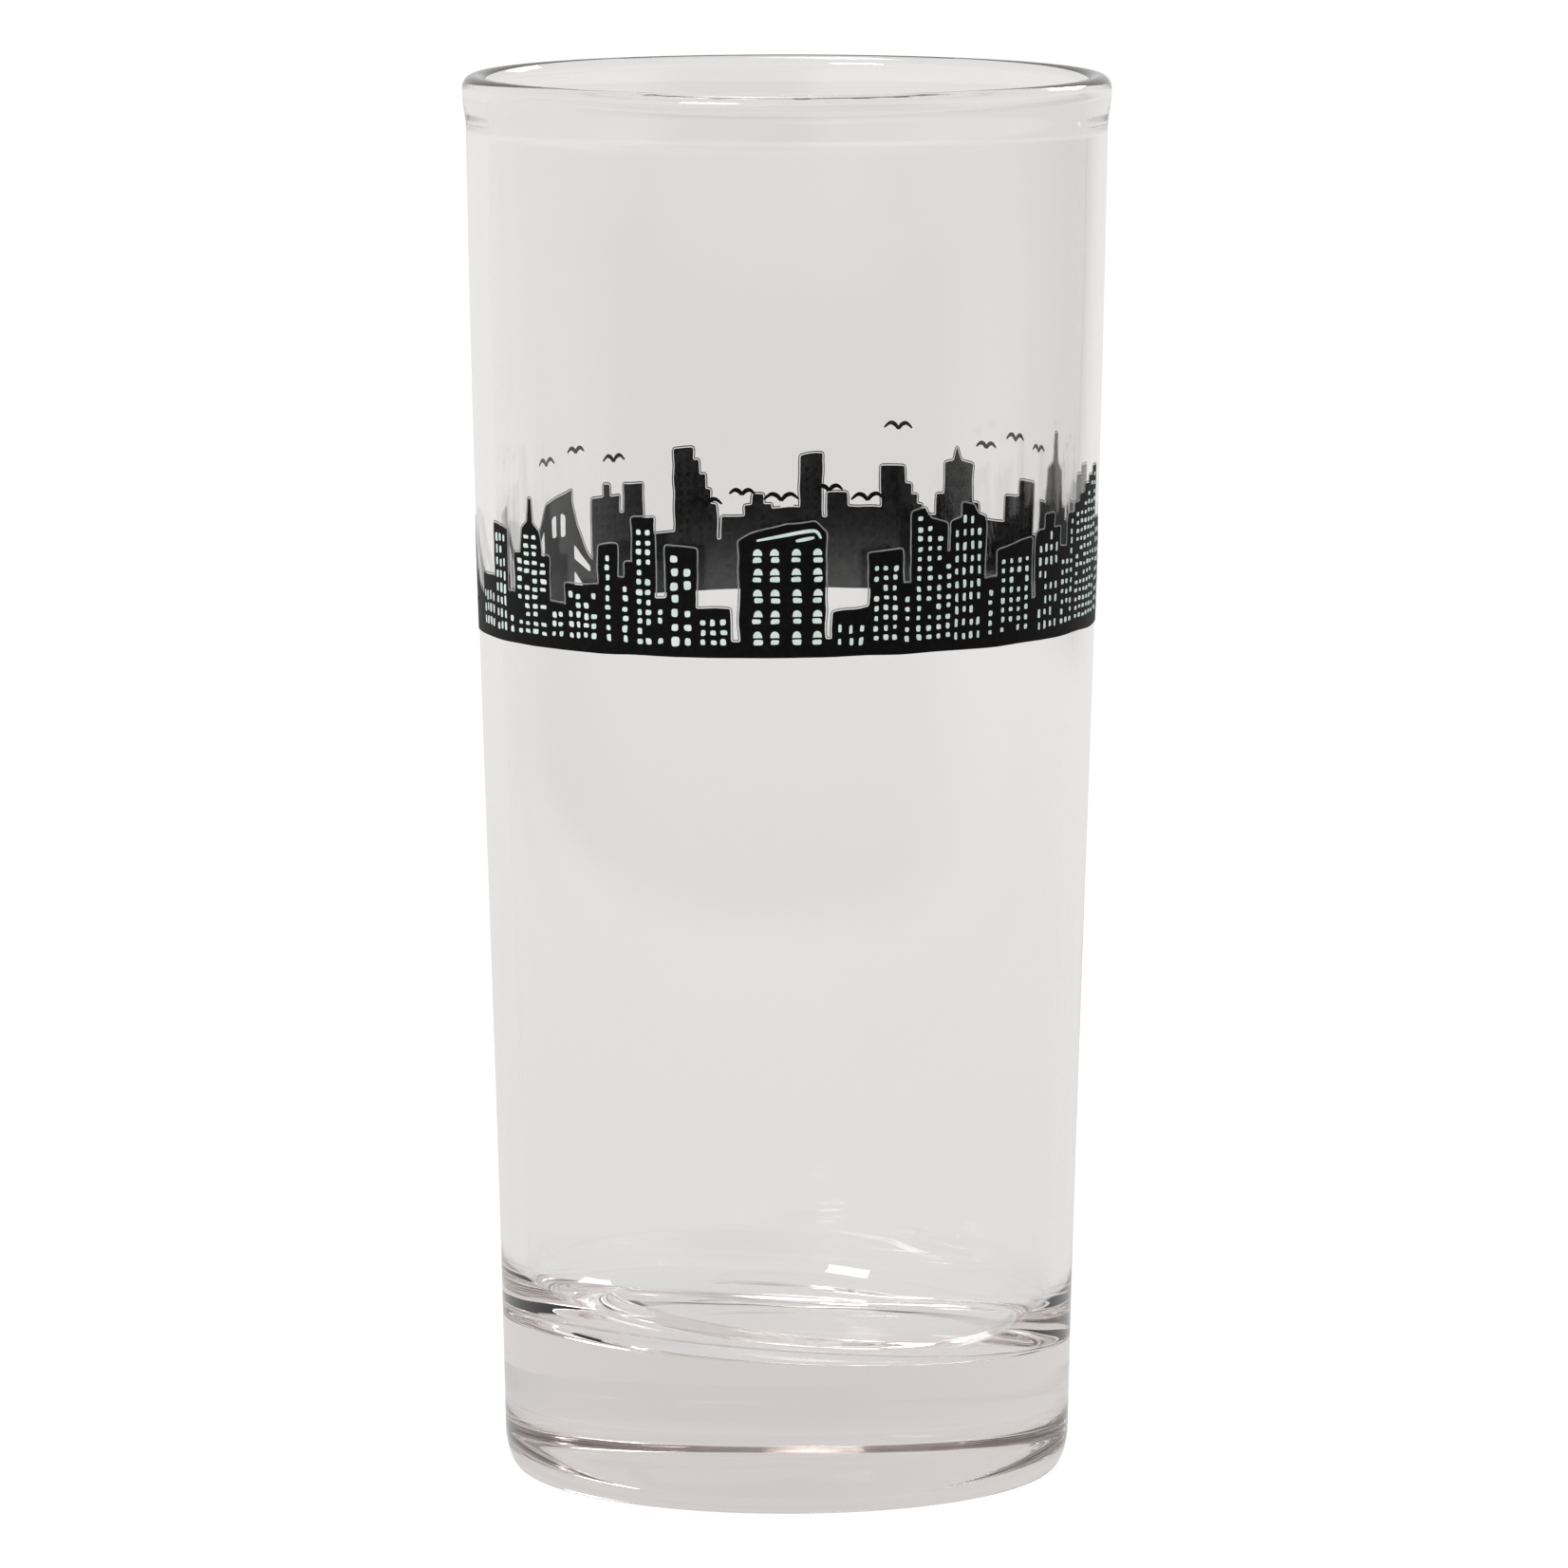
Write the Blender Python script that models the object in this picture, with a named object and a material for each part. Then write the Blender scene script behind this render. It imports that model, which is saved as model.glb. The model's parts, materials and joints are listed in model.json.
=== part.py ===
"""A tall shot glass with a city skyline printed round it.

The glass is one turned solid: wall, beaded rim, heavy base and a floor that leans a little. The print
is fired-on enamel. Each island of ink is a thin film of its own, drawn flat against the angle round
the glass and then wrapped on to the side wall.

Blender 4.5, metres, +Z up. The origin is the centre of the resting ring, and -Y is the front of the print.
"""

import math

import bmesh
import bpy
from mathutils import Vector
from mathutils.geometry import interpolate_bezier

MM = 0.001

# The glass
HEIGHT = 95.5 * MM
RIM_RADIUS = 22.0 * MM
TURN_STEPS = 72

BEAD_CREST = 0.9 * MM
BEAD_DEPTH = 4.0 * MM
BEAD_BULGE = 0.28 * MM
LIP_FLARE = 0.03 * MM

SIDE_BOTTOM = Vector((19.34, 3.0)) * MM
SIDE_TOP = Vector((RIM_RADIUS - BEAD_BULGE, HEIGHT - BEAD_DEPTH))
SIDE_BOTTOM_SLOPE = 0.020
SIDE_TOP_SLOPE = 0.013
SIDE_STATIONS = 9

RESTING_RING = (17.75 * MM, 18.15 * MM)
PUSH_UP = 0.9 * MM

WALL_TOP = 1.45 * MM
WALL_BOTTOM = 1.60 * MM

# The cavity's floor: a shallow gutter round a raised pad. Both lean, and the pad stands off centre.
FILLET_TOP = 14.4 * MM
GUTTER_RADIUS = 15.0 * MM
GUTTER_HEIGHT = 9.3 * MM
GUTTER_LEAN = Vector((0.040, 0.035))
PAD_RADIUS = 13.7 * MM
PAD_HEIGHT = 10.2 * MM
PAD_DISH = 0.20 * MM
PAD_LEAN = Vector((0.090, 0.020))
PAD_SHIFT = 1.8 * MM
LEAN_FADES_AT = 34.0 * MM

# The print
INK_THICKNESS = 0.10 * MM
INK_GAP = 0.05 * MM
FIRST_COAT = INK_GAP
SECOND_COAT = FIRST_COAT + INK_THICKNESS + INK_GAP
SLICE_DEGREES = 360.0 / TURN_STEPS
BASELINE = 58.2 * MM
BASELINE_TILT = 0.25 * MM
FRONT_TOWER = "front_tower"

GLASS_COLOUR = (0.93, 0.95, 0.94, 1.0)
BLACK_INK = (0.012, 0.012, 0.013, 1.0)
PALE_INK = (0.72, 0.86, 0.82, 1.0)


# ---------------------------------------------------------------- roofs


def flat(height):
    """A roof as (share of the building's width, height in millimetres) points, left to right."""
    return [(0.0, height), (1.0, height)]


def slanted(left, right):
    return [(0.0, left), (1.0, right)]


def stairs(low, high, steps):
    """A roof that climbs from left to right in equal steps."""
    points = []
    for step in range(steps):
        height = low + (high - low) * step / (steps - 1)
        points += [(step / steps, height), ((step + 1) / steps, height)]
    return points


def setback(shoulder, top, inset):
    """A narrower storey on top of a wider one."""
    left = [(0.0, shoulder), (inset, shoulder), (inset, top)]
    return left + [(1 - inset, top), (1 - inset, shoulder), (1.0, shoulder)]


def spire(shoulder, neck, tip, inset):
    """Two storeys that narrow, and a mast."""
    mast = 0.035
    return [
        (0.0, shoulder),
        (inset, shoulder),
        (inset * 1.25, neck),
        (0.5 - mast * 2, neck + 0.5),
        (0.5 - mast, tip),
        (0.5 + mast, tip),
        (0.5 + mast * 2, neck + 0.5),
        (1 - inset * 1.25, neck),
        (1 - inset, shoulder),
        (1.0, shoulder),
    ]


def tank(height, left, right, rise):
    """A flat roof with a water tank between left and right."""
    box = [(left, height), (left, height + rise), (right, height + rise), (right, height)]
    return [(0.0, height), *box, (1.0, height)]


def lantern(left, shoulder, tip, right):
    """A tower with a small pointed lantern between lower wings."""
    crown = [(0.15, shoulder), (0.42, shoulder + 0.2), (0.5, tip), (0.6, shoulder + 0.2), (0.8, shoulder)]
    return [(0.0, left), (0.15, left), *crown, (0.8, right), (1.0, right)]


def cable(left, right, sag):
    """A bridge cable that hangs between two towers."""
    points = []
    for step in range(5):
        share = step / 4
        straight = left + (right - left) * share
        points.append((share, straight - sag * 4 * share * (1 - share)))
    return points


# Buildings in order round the glass, as (angle of the left edge in degrees, name if another piece needs
# it, roof). Each one ends where the next begins, 0 degrees is the front and the seam is at the back.
BUILDINGS = [
    (-180.0, "", flat(5.6)),
    (-176.8, "", tank(5.9, 0.3, 0.7, 0.7)),
    (-171.6, "", flat(5.1)),
    (-166.9, "", flat(3.5)),
    (-166.0, "", stairs(6.0, 9.2, 4)),
    (-161.3, "", flat(10.0)),
    (-157.2, "", flat(4.2)),
    (-150.3, "", slanted(7.7, 7.8)),
    (-145.7, "", flat(5.8)),
    (-144.4, "", tank(7.0, 0.35, 0.55, 0.9)),
    (-136.4, "side_span_1", cable(2.7, 6.8, 0.7)),
    (-130.4, "bridge_tower_1", slanted(7.8, 7.0)),
    (-121.6, "main_span", cable(7.0, 7.0, 4.0)),
    (-97.0, "bridge_tower_2", slanted(7.8, 7.4)),
    (-90.4, "side_span_2", cable(6.8, 2.7, 0.9)),
    (-76.0, "", flat(4.2)),
    (-68.4, "", slanted(7.9, 7.6)),
    (-62.6, "", flat(3.4)),
    (-59.6, "", spire(6.2, 7.8, 9.9, 0.2)),
    (-48.8, "", flat(3.1)),
    (-44.4, "", slanted(4.4, 4.6)),
    (-36.2, "", slanted(7.2, 7.4)),
    (-32.3, "", stairs(5.1, 6.2, 2)),
    (-28.9, "", slanted(9.2, 9.3)),
    (-24.5, "", flat(3.9)),
    (-22.3, "", slanted(7.4, 7.2)),
    (-16.6, "", flat(3.3)),
    (-10.2, "", flat(1.1)),
    (-8.6, FRONT_TOWER, [(0.0, 7.8), (0.15, 8.3), (0.55, 8.8), (0.88, 9.0), (1.0, 8.3)]),
    (6.9, "", flat(1.2)),
    (8.2, "", slanted(3.0, 3.3)),
    (15.0, "", slanted(6.8, 7.0)),
    (21.2, "", flat(4.7)),
    (23.1, "", [(0.0, 9.4), (0.36, 9.7), (0.52, 8.9), (1.0, 8.6)]),
    (30.0, "", flat(6.6)),
    (31.0, "", [(0.0, 8.6), (0.32, 8.9), (0.32, 9.9), (0.62, 9.6), (0.72, 9.1), (1.0, 8.8)]),
    (38.4, "", flat(4.6)),
    (41.6, "", slanted(6.4, 7.0)),
    (50.6, "", flat(2.9)),
    (52.0, "", tank(7.4, 0.35, 0.7, 1.0)),
    (59.8, "", stairs(6.0, 8.2, 2)),
    (65.8, "", stairs(8.8, 11.0, 5)),
    (79.0, "", flat(7.2)),
    (85.0, "", stairs(4.6, 6.2, 3)),
    (92.0, "", flat(7.7)),
    (97.0, "", flat(4.4)),
    (99.0, "", tank(6.2, 0.2, 0.5, 1.1)),
    (103.0, "", spire(7.0, 9.4, 12.0, 0.2)),
    (116.5, "", flat(4.6)),
    (119.6, "", [(0.0, 8.2), (0.55, 8.2), (0.55, 7.1), (1.0, 7.0)]),
    (130.4, "", flat(5.2)),
    (137.8, "", lantern(6.4, 9.0, 10.2, 6.8)),
    (148.0, "", flat(5.3)),
    (151.5, "", stairs(6.0, 7.4, 3)),
    (155.5, "", flat(8.6)),
    (160.6, "", flat(5.7)),
    (167.8, "", flat(6.7)),
    (172.0, "", flat(4.9)),
    (173.2, "", slanted(9.5, 9.3)),
    (177.8, "", flat(5.6)),
]

# Openings under the bridge cables and through its towers, as (building, share of its width from and to,
# heights at the lower left and right, heights at the upper left and right, in millimetres)
BRIDGE_OPENINGS = [
    ("bridge_tower_1", 0.24, 0.42, 4.6, 4.6, 6.1, 6.3),
    ("bridge_tower_1", 0.58, 0.76, 4.6, 4.6, 6.2, 6.0),
    ("bridge_tower_2", 0.24, 0.42, 4.6, 4.6, 6.7, 6.5),
    ("bridge_tower_2", 0.58, 0.76, 4.6, 4.6, 6.3, 6.1),
    ("main_span", 0.04, 0.11, 2.0, 2.0, 5.3, 4.5),
    ("main_span", 0.14, 0.22, 2.0, 2.0, 4.2, 3.5),
    ("main_span", 0.78, 0.86, 2.0, 2.0, 3.5, 4.2),
    ("main_span", 0.89, 0.96, 2.0, 2.0, 4.5, 5.3),
    ("side_span_1", 0.15, 0.95, 1.9, 3.0, 2.3, 4.0),
    ("side_span_1", 0.55, 0.95, 0.9, 0.9, 1.2, 2.2),
    ("side_span_2", 0.05, 0.22, 2.0, 2.0, 5.1, 4.1),
    ("side_span_2", 0.30, 0.52, 2.0, 2.0, 3.4, 2.6),
]

# The front tower's windows: each is an arched pane over a sill, at these angles and heights in millimetres
WINDOW_COLUMNS = (-5.25, -2.15, 1.75, 5.55)
WINDOW_ROWS = (6.85, 5.55, 4.15, 2.75, 1.35)
PANE_HALF_WIDTH = 0.85
ARCH_RISE = 0.44
SILL_HEIGHT = 0.34
SILL_DROP = 0.13

# Two strokes of light along the front tower's roof, as (left, right, height at left and right)
ROOF_STROKES = [(-5.4, 5.9, 7.75, 8.35), (1.6, 4.9, 7.75, 7.95)]
STROKE_HEIGHT = 0.22

# Birds over the skyline: (angle, height above the baseline and wing span in millimetres)
FLOCKS = {
    "front_bird": [
        (-14.5, 10.2, 2.1),
        (-8.0, 10.9, 1.7),
        (-1.0, 10.5, 2.3),
        (7.5, 11.1, 1.8),
        (14.5, 10.4, 2.2),
    ],
    "left_bird": [(-143.0, 9.4, 2.2), (-132.0, 10.3, 1.8), (-122.0, 9.7, 2.3)],
    "right_bird": [(118.0, 10.4, 1.9), (127.5, 10.9, 2.2), (136.0, 10.2, 1.8), (157.0, 11.2, 2.2)],
}

# A bird's outline as (share of its half span, share of its rise), left to right and back again
WING_TOP = [(-1, 0.15), (-0.6, 1.0), (-0.25, 0.85), (0, 0.1), (0.25, 0.85), (0.6, 1.0), (1, 0.15)]
WING_UNDERSIDE = [(0.55, 0.95), (0.22, 0.6), (0, 0.0), (-0.22, 0.6), (-0.55, 0.95)]


# ---------------------------------------------------------------- helpers


def material(name, colour, roughness, transmission=0.0):
    """A Principled material."""
    made = bpy.data.materials.new(name)
    made.use_nodes = True
    shader = made.node_tree.nodes["Principled BSDF"]
    shader.inputs["Base Color"].default_value = colour
    shader.inputs["Roughness"].default_value = roughness
    shader.inputs["Transmission Weight"].default_value = transmission
    made.diffuse_color = colour
    return made


def node_from(name, shape, finish):
    """Turns a bmesh into a named object with smooth shading and that material."""
    mesh = bpy.data.meshes.new(name)
    bmesh.ops.recalc_face_normals(shape, faces=shape.faces)
    shape.to_mesh(mesh)
    shape.free()
    mesh.shade_smooth()
    mesh.set_sharp_from_angle(angle=math.radians(35))
    mesh.materials.append(finish)
    made = bpy.data.objects.new(name, mesh)
    bpy.context.scene.collection.objects.link(made)
    return made


def arc(centre, across, up, start, end, steps):
    """Points on an ellipse from start to end degrees, both ends included."""
    points = []
    for step in range(steps + 1):
        turn = math.radians(start + (end - start) * step / steps)
        points.append(centre + Vector((across * math.cos(turn), up * math.sin(turn))))
    return points


# ---------------------------------------------------------------- the glass


def side_curve(stations):
    """The outer wall from heel to bead. Its handles stand at thirds, so height runs evenly along it."""
    third = (SIDE_TOP.y - SIDE_BOTTOM.y) / 3
    low = SIDE_BOTTOM + Vector((SIDE_BOTTOM_SLOPE * third, third))
    high = SIDE_TOP - Vector((SIDE_TOP_SLOPE * third, third))
    return interpolate_bezier(SIDE_BOTTOM, low, high, SIDE_TOP, stations)


SIDE_TABLE = side_curve(200)


def side_radius(z):
    """The outer wall's radius at a height between heel and bead."""
    place = (z - SIDE_BOTTOM.y) / (SIDE_TOP.y - SIDE_BOTTOM.y) * (len(SIDE_TABLE) - 1)
    step = min(max(int(place), 0), len(SIDE_TABLE) - 2)
    return SIDE_TABLE[step].lerp(SIDE_TABLE[step + 1], place - step).x


def inner_radius(z):
    share = (z - FILLET_TOP) / (SIDE_TOP.y - FILLET_TOP)
    return side_radius(z) - (WALL_BOTTOM + (WALL_TOP - WALL_BOTTOM) * share)


def bead_side(foot, bulge, steps):
    """A smooth swelling from the wall's end at foot out to bulge, without its two ends."""
    points = []
    for step in range(1, steps):
        share = step / steps
        ease = (1 - math.cos(math.pi * share)) / 2
        points.append(Vector((foot.x + (bulge.x - foot.x) * ease, foot.y + (bulge.y - foot.y) * share)))
    return points


def fades(value, start, end):
    """1 up to start and 0 from end on, with a smooth fall between."""
    share = min(1.0, max(0.0, (value - start) / (end - start)))
    return 1 - share * share * (3 - 2 * share)


def foot_profile():
    """From the middle of the underside, over the resting ring and round the heel to the wall's foot."""
    ring_in, ring_out = RESTING_RING
    shares = (0.0, 0.35, 0.65, 0.87, 1.0)
    underside = [Vector((ring_in * share, PUSH_UP * (1 - share**2))) for share in shares]
    heel = arc(Vector((ring_out, SIDE_BOTTOM.y)), SIDE_BOTTOM.x - ring_out, SIDE_BOTTOM.y, -90, 0, 6)
    return underside + heel


def rim_profile():
    """From the wall's top end, round the bead, to its inner side."""
    inner_top = inner_radius(SIDE_TOP.y) + LIP_FLARE
    half_width = (RIM_RADIUS - inner_top) / 2
    crest = arc(Vector((RIM_RADIUS - half_width, HEIGHT - BEAD_CREST)), half_width, BEAD_CREST, 0, 180, 8)
    return bead_side(SIDE_TOP, crest[0], 4) + crest


def floor_profile():
    """From the wall's inner foot, round the fillet, over the gutter and up on to the pad."""
    fillet_width = inner_radius(FILLET_TOP) - GUTTER_RADIUS
    points = arc(Vector((GUTTER_RADIUS, FILLET_TOP)), fillet_width, FILLET_TOP - GUTTER_HEIGHT, 0, -90, 7)
    for share in (1 / 3, 2 / 3):
        radius = GUTTER_RADIUS + (PAD_RADIUS - GUTTER_RADIUS) * share
        rise = (PAD_HEIGHT - GUTTER_HEIGHT) * fades(radius, PAD_RADIUS, GUTTER_RADIUS)
        points.append(Vector((radius, GUTTER_HEIGHT + rise)))
    for share in (1.0, 0.75, 0.5, 0.25, 0.0):
        points.append(Vector((PAD_RADIUS * share, PAD_HEIGHT - PAD_DISH * (1 - share**2))))
    return points


def glass_profile():
    """Radius and height, from the middle of the underside, up, over the rim and down to the floor."""
    outside = side_curve(SIDE_STATIONS)
    heights = [point.y for point in outside[::-1] if point.y > FILLET_TOP + MM]
    inside = [Vector((inner_radius(z), z)) for z in heights]
    return foot_profile() + outside[1:] + rim_profile() + inside + floor_profile()


def lean_floor(shape):
    """Tips the cavity's floor and moves its pad off centre, fading out up the wall."""
    for vertex in shape.verts:
        x, y, z = vertex.co
        radius = math.hypot(x, y)
        if z < GUTTER_HEIGHT - 0.1 * MM or radius > inner_radius(max(z, FILLET_TOP)) + 0.1 * MM:
            continue
        lean = GUTTER_LEAN.lerp(PAD_LEAN, fades(radius, PAD_RADIUS, GUTTER_RADIUS))
        vertex.co.z -= Vector((x, y)).dot(lean) * fades(z, FILLET_TOP, LEAN_FADES_AT)
        vertex.co.x += PAD_SHIFT * fades(radius, PAD_RADIUS, inner_radius(FILLET_TOP))


def make_glass():
    shape = bmesh.new()
    rows = [shape.verts.new((point.x, 0.0, point.y)) for point in glass_profile()]
    edges = [shape.edges.new(pair) for pair in zip(rows, rows[1:])]
    turn = {"axis": (0, 0, 1), "cent": (0, 0, 0), "angle": math.tau, "steps": TURN_STEPS}
    bmesh.ops.spin(shape, geom=rows + edges, use_merge=True, **turn)
    bmesh.ops.remove_doubles(shape, verts=shape.verts, dist=0.001 * MM)
    lean_floor(shape)
    finish = material("clear_glass", GLASS_COLOUR, 0.0, transmission=1.0)
    return node_from("glass_body", shape, finish)


# ---------------------------------------------------------------- the print


def baseline(angle):
    """Height of the print's lower edge, which isn't quite level."""
    return BASELINE + BASELINE_TILT * math.sin(math.radians(angle))


def wrapped(angle, height, lift):
    """A point of the drawing on the glass: degrees round from the front, height, and lift off the wall."""
    turn = math.radians(angle)
    radius = side_radius(height) + lift
    return Vector((radius * math.sin(turn), -radius * math.cos(turn), height))


def film(name, outline, finish, coat, holes=(), whole_turn=False):
    """A closed film of ink from a flat outline of (degrees, millimetres above the baseline) points."""
    shape = bmesh.new()
    for loop in (outline, *holes):
        corners = [shape.verts.new((angle, 0.0, height)) for angle, height in loop]
        for one, other in zip(corners, corners[1:] + corners[:1]):
            shape.edges.new((one, other))
    bmesh.ops.triangle_fill(shape, use_beauty=True, use_dissolve=False, edges=shape.edges)

    angles = [angle for angle, _ in outline]
    first = math.floor(min(angles) / SLICE_DEGREES) + 1
    last = math.ceil(max(angles) / SLICE_DEGREES)
    for cut in range(first, last):
        everything = shape.verts[:] + shape.edges[:] + shape.faces[:]
        place = (cut * SLICE_DEGREES, 0, 0)
        bmesh.ops.bisect_plane(shape, geom=everything, dist=1e-6, plane_co=place, plane_no=(1, 0, 0))

    for vertex in shape.verts:
        angle, height = vertex.co.x, vertex.co.z
        vertex.co = wrapped(angle, baseline(angle) + height * MM, coat)
    if whole_turn:
        bmesh.ops.remove_doubles(shape, verts=shape.verts, dist=0.001 * MM)

    raised = bmesh.ops.extrude_face_region(shape, geom=shape.faces[:])
    for vertex in raised["geom"]:
        if isinstance(vertex, bmesh.types.BMVert):
            outward = Vector((vertex.co.x, vertex.co.y, 0.0)).normalized()
            vertex.co += outward * INK_THICKNESS
    return node_from(name, shape, finish)


def building_spans():
    """(name, left angle, right angle, roof) for each building."""
    lefts = [left for left, _, _ in BUILDINGS] + [180.0]
    return [(name, left, right, roof) for (left, name, roof), right in zip(BUILDINGS, lefts[1:])]


def span_named(wanted):
    return next(span for span in building_spans() if span[0] == wanted)


def four_sided(left, right, low, high):
    """A loop between two angles. low and high are the heights at its left and right."""
    return [(left, low[0]), (right, low[1]), (right, high[1]), (left, high[0])]


def skyline_outline():
    """The black band's outline: along the roofs, then back along the baseline."""
    roofline = []
    for _, left, right, roof in building_spans():
        roofline += [(left + (right - left) * share, height) for share, height in roof]
    distinct = roofline[:1]
    for point in roofline[1:]:
        if math.dist(point, distinct[-1]) > 1e-4:
            distinct.append(point)
    return distinct + [(180.0, 0.0), (-180.0, 0.0)]


def make_skyline(finish):
    holes = []
    for name, share_from, share_to, low_left, low_right, high_left, high_right in BRIDGE_OPENINGS:
        _, left, right, _ = span_named(name)
        width = right - left
        low, high = (low_left, low_right), (high_left, high_right)
        holes.append(four_sided(left + width * share_from, left + width * share_to, low, high))
    return film("skyline_ink", skyline_outline(), finish, FIRST_COAT, holes, whole_turn=True)


def make_tower_windows(finish):
    """The front tower's windows, an arch and a sill for each, row by row from the top."""
    places = [(column, row) for row in WINDOW_ROWS for column in WINDOW_COLUMNS]
    for number, (column, row) in enumerate(places, 1):
        dome = arc(Vector((column, row)), PANE_HALF_WIDTH, ARCH_RISE, 0, 180, 6)
        film(f"window_arch_{number:02d}", [tuple(point) for point in dome], finish, SECOND_COAT)
        top = row - SILL_DROP
        left, right = column - PANE_HALF_WIDTH, column + PANE_HALF_WIDTH
        sill = four_sided(left, right, [top - SILL_HEIGHT] * 2, [top] * 2)
        film(f"window_sill_{number:02d}", sill, finish, SECOND_COAT)


def make_roof_strokes(finish):
    for number, (left, right, at_left, at_right) in enumerate(ROOF_STROKES, 1):
        low, high = (at_left, at_right), (at_left + STROKE_HEIGHT, at_right + STROKE_HEIGHT)
        film(f"roof_stroke_{number}", four_sided(left, right, low, high), finish, SECOND_COAT)


def bird(angle, height, span):
    """A gull as two arched wings, drawn as one closed stroke."""
    degrees = math.degrees(1 / (side_radius(BASELINE) / MM))
    half, rise, body = span / 2 * degrees, span * 0.20, 0.26
    upper = [(angle + half * share, height + rise * lift) for share, lift in WING_TOP]
    lower = [(angle + half * share, height + rise * lift - body) for share, lift in WING_UNDERSIDE]
    return upper + lower


def make_birds(finish):
    for flock, birds in FLOCKS.items():
        for number, (angle, height, span) in enumerate(birds, 1):
            film(f"{flock}_{number}", bird(angle, height, span), finish, FIRST_COAT)


def main():
    for thing in list(bpy.data.objects):
        bpy.data.objects.remove(thing)
    make_glass()
    black = material("black_enamel", BLACK_INK, 0.35)
    pale = material("pale_enamel", PALE_INK, 0.40)
    make_skyline(black)
    make_tower_windows(pale)
    make_roof_strokes(pale)
    make_birds(black)


main()
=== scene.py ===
import json
import math
import random

import bmesh
import bpy
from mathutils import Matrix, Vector, noise
from mathutils.geometry import interpolate_bezier


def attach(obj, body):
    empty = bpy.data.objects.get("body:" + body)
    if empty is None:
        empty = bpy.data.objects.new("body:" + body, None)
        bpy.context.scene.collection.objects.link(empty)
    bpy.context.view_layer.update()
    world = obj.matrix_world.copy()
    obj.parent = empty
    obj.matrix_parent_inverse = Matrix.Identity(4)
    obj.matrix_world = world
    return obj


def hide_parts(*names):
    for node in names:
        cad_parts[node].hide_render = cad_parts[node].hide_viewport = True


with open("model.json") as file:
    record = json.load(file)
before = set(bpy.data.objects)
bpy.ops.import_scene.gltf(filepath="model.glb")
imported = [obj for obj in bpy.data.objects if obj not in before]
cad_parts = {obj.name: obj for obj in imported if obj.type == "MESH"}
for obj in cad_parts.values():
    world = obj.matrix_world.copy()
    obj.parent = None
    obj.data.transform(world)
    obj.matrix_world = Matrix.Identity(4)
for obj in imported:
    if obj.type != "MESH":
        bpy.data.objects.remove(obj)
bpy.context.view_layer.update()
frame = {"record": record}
MM = 0.001
NODES = [record["node"] for record in frame["record"]["subparts"]]

# ------------------------------------------------------------------ the glass, as in the CAD model
HEIGHT = 95.5 * MM
RIM_RADIUS = 22.0 * MM
TURN_STEPS = 256

BEAD_CREST = 0.9 * MM
BEAD_DEPTH = 4.0 * MM
BEAD_BULGE = 0.28 * MM
LIP_FLARE = 0.03 * MM

SIDE_BOTTOM = Vector((19.34, 3.0)) * MM
SIDE_TOP = Vector((RIM_RADIUS - BEAD_BULGE, HEIGHT - BEAD_DEPTH))
SIDE_BOTTOM_SLOPE = 0.020
SIDE_TOP_SLOPE = 0.013

RESTING_RING = (17.75 * MM, 18.15 * MM)
PUSH_UP = 0.9 * MM
UNDERSIDE_ROWS = 33
UNDERSIDE_WAVE = 0.10 * MM

WALL_TOP = 1.45 * MM
WALL_BOTTOM = 1.60 * MM
FILLET_TOP = 14.4 * MM
GUTTER_RADIUS = 15.0 * MM
GUTTER_HEIGHT = 9.3 * MM
GUTTER_LEAN = Vector((0.040, 0.035))
PAD_RADIUS = 13.7 * MM
PAD_HEIGHT = 10.2 * MM
PAD_DISH = 0.20 * MM
PAD_LEAN = Vector((0.090, 0.020))
PAD_SHIFT = 1.8 * MM
LEAN_FADES_AT = 34.0 * MM

# ------------------------------------------------------------------ the print, in millimetres and degrees
PRINT_RADIUS = 20.98
DEGREE = math.radians(PRINT_RADIUS)
BASELINE = 58.2
BASELINE_TILT = 0.25
FRONT_TOWER = "front_tower"

# How far each film's inner and outer faces stand off the glass
# The dark films of painted shade under the windows sit closest to the glass
LIFT_PAINTED_PANE_SHADE = (0.006, 0.014)
LIFT_BLACK = (0.018, 0.045)
LIFT_OUTLINE = (0.018, 0.036)
LIFT_PALE = (0.048, 0.066)

OUTLINE_GAP = 0.11
OUTLINE_WIDTH = 0.085

# Enamel colours, as (place on the noise's range, colour)
BLACK_STOPS = [(0.30, (0.0015, 0.0015, 0.0015)), (0.75, (0.0060, 0.0057, 0.0057))]
BLACK_BEHIND_STOPS = [(0.30, (0.006, 0.006, 0.0065)), (0.72, (0.034, 0.035, 0.036))]
# Painted shade: the colour of the dark films under the windows, seen through the glass from inside
PAINTED_PANE_SHADE_STOPS = [(0.3, (0.002, 0.002, 0.002)), (0.7, (0.008, 0.009, 0.009))]
PALE_STOPS = [(0.32, (0.64, 0.82, 0.76)), (0.5, (0.78, 0.90, 0.86)), (0.68, (0.90, 0.94, 0.92))]
GREY_STOPS = [(0.3, (0.20, 0.21, 0.21)), (0.7, (0.36, 0.38, 0.38))]


# ------------------------------------------------------------------ roofs, left to right
def flat(height):
    """A roof as (share of the building's width, height in millimetres) points."""
    return [(0.0, height), (1.0, height)]


def slanted(left, right):
    return [(0.0, left), (1.0, right)]


def stairs(low, high, steps):
    """A roof that climbs in equal steps."""
    points = []
    for step in range(steps):
        height = low + (high - low) * step / (steps - 1)
        points += [(step / steps, height), ((step + 1) / steps, height)]
    return points


def spire(shoulder, neck, tip, inset):
    """Two storeys that narrow, and a mast."""
    mast = 0.035
    return [
        (0.0, shoulder),
        (inset, shoulder),
        (inset * 1.25, neck),
        (0.5 - mast * 2, neck + 0.5),
        (0.5 - mast, tip),
        (0.5 + mast, tip),
        (0.5 + mast * 2, neck + 0.5),
        (1 - inset * 1.25, neck),
        (1 - inset, shoulder),
        (1.0, shoulder),
    ]


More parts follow.
